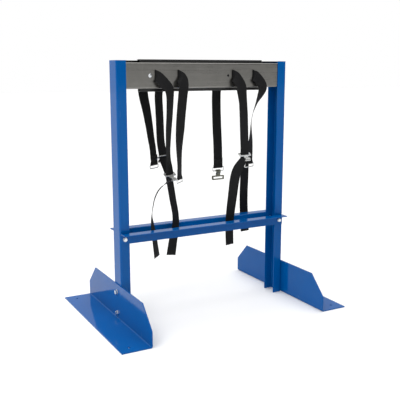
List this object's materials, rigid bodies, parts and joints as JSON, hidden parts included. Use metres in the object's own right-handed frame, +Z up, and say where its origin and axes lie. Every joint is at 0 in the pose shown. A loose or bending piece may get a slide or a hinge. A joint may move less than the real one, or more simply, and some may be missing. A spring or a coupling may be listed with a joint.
{
  "type": "double-sided strap stand",
  "caption": "Free-standing two-upright steel frame on wide feet, with slotted top beams, low rails and hanging lashing straps on both sides.",
  "frame": {"origin": "on the floor, half way between the two uprights and half way between the front and rear faces", "axes": "+X across the frame to its right-hand upright, +Y from the front side to the rear side, +Z up"},
  "size_m": [1.18, 0.785, 1.2],
  "materials": {
    "blue_paint": "glossy powder coat",
    "bare_steel": "smooth, slightly shiny bare sheet",
    "dark_steel": "dark, satin",
    "zinc": "bright zinc plate",
    "black_screw": "blackened, satin",
    "webbing": "woven polyester band",
    "ring_wire": "bright plated wire",
    "hook_steel": "bright zinc plate",
    "hook_dark": "dull, slightly olive zinc plate"
  },
  "bodies": {
    "frame": {"left_upright": "blue_paint", "right_upright": "blue_paint", "left_foot": "blue_paint", "right_foot": "blue_paint", "front_rail": "blue_paint", "rear_rail": "blue_paint", "front_beam": "bare_steel", "rear_beam": "bare_steel", "centre_box": "dark_steel", "foot_bolts": "zinc", "foot_washers": "zinc", "foot_nuts": "zinc", "rail_bolts": "zinc", "rail_washers": "zinc", "rail_nuts": "zinc", "cup_screws": "zinc", "cup_nuts": "zinc", "socket_screws": "black_screw", "socket_nuts": "zinc", "clamp_washers": "zinc", "strap_tabs": "webbing", "strap_front_left_long": "webbing", "strap_front_left_short": "webbing", "strap_front_right_long": "webbing", "strap_front_right_short": "webbing", "strap_rear_left_long": "webbing", "strap_rear_left_short": "webbing", "strap_rear_right_long": "webbing", "strap_rear_right_short": "webbing"},
    "ring_front_left": {"ring_front_left": "ring_wire"},
    "ring_front_right": {"ring_front_right": "ring_wire"},
    "ring_rear_left": {"ring_rear_left": "ring_wire"},
    "ring_rear_right": {"ring_rear_right": "ring_wire"},
    "hook_front_left": {"hook_front_left": "hook_steel"},
    "hook_front_right": {"hook_front_right": "hook_steel"},
    "hook_rear_left": {"hook_rear_left": "hook_steel"},
    "hook_rear_right": {"hook_rear_right": "hook_dark"}
  },
  "joints": [
    {"name": "ring_front_left_swing", "type": "hinge", "parent": "frame", "child": "ring_front_left", "pos_m": [-0.145, -0.0455, 0.6515], "axis": [0.7431, 0.6691, 0], "range_deg": [-60, 90]},
    {"name": "ring_front_right_swing", "type": "hinge", "parent": "frame", "child": "ring_front_right", "pos_m": [0.234, -0.0535, 0.7015], "axis": [0.9511, 0.309, 0], "range_deg": [-60, 90]},
    {"name": "ring_rear_left_swing", "type": "hinge", "parent": "frame", "child": "ring_rear_left", "pos_m": [-0.23, 0.0565, 0.7125], "axis": [-0.866, -0.5, 0], "range_deg": [-90, 90]},
    {"name": "ring_rear_right_swing", "type": "hinge", "parent": "frame", "child": "ring_rear_right", "pos_m": [0.127, 0.0675, 0.6735], "axis": [-1, 0, 0], "range_deg": [-90, 90]},
    {"name": "hook_front_left_lift", "type": "hinge", "parent": "frame", "child": "hook_front_left", "pos_m": [-0.199, -0.0495, 0.6765], "axis": [-0.9394, -0.3421, -0.0204], "range_deg": [0, 60]},
    {"name": "hook_front_right_lift", "type": "hinge", "parent": "frame", "child": "hook_front_right", "pos_m": [0.191, -0.0795, 0.7495], "axis": [-0.9945, -0.1045, 0], "range_deg": [0, 60]},
    {"name": "hook_rear_left_lift", "type": "hinge", "parent": "frame", "child": "hook_rear_left", "pos_m": [-0.186, 0.0465, 0.7475], "axis": [0.973, 0.215, 0.0833], "range_deg": [0, 60]},
    {"name": "hook_rear_right_swing", "type": "hinge", "parent": "ring_rear_right", "child": "hook_rear_right", "pos_m": [0.127, 0.0675, 0.6555], "axis": [-1, 0, 0], "range_deg": [-70, 70]}
  ]
}
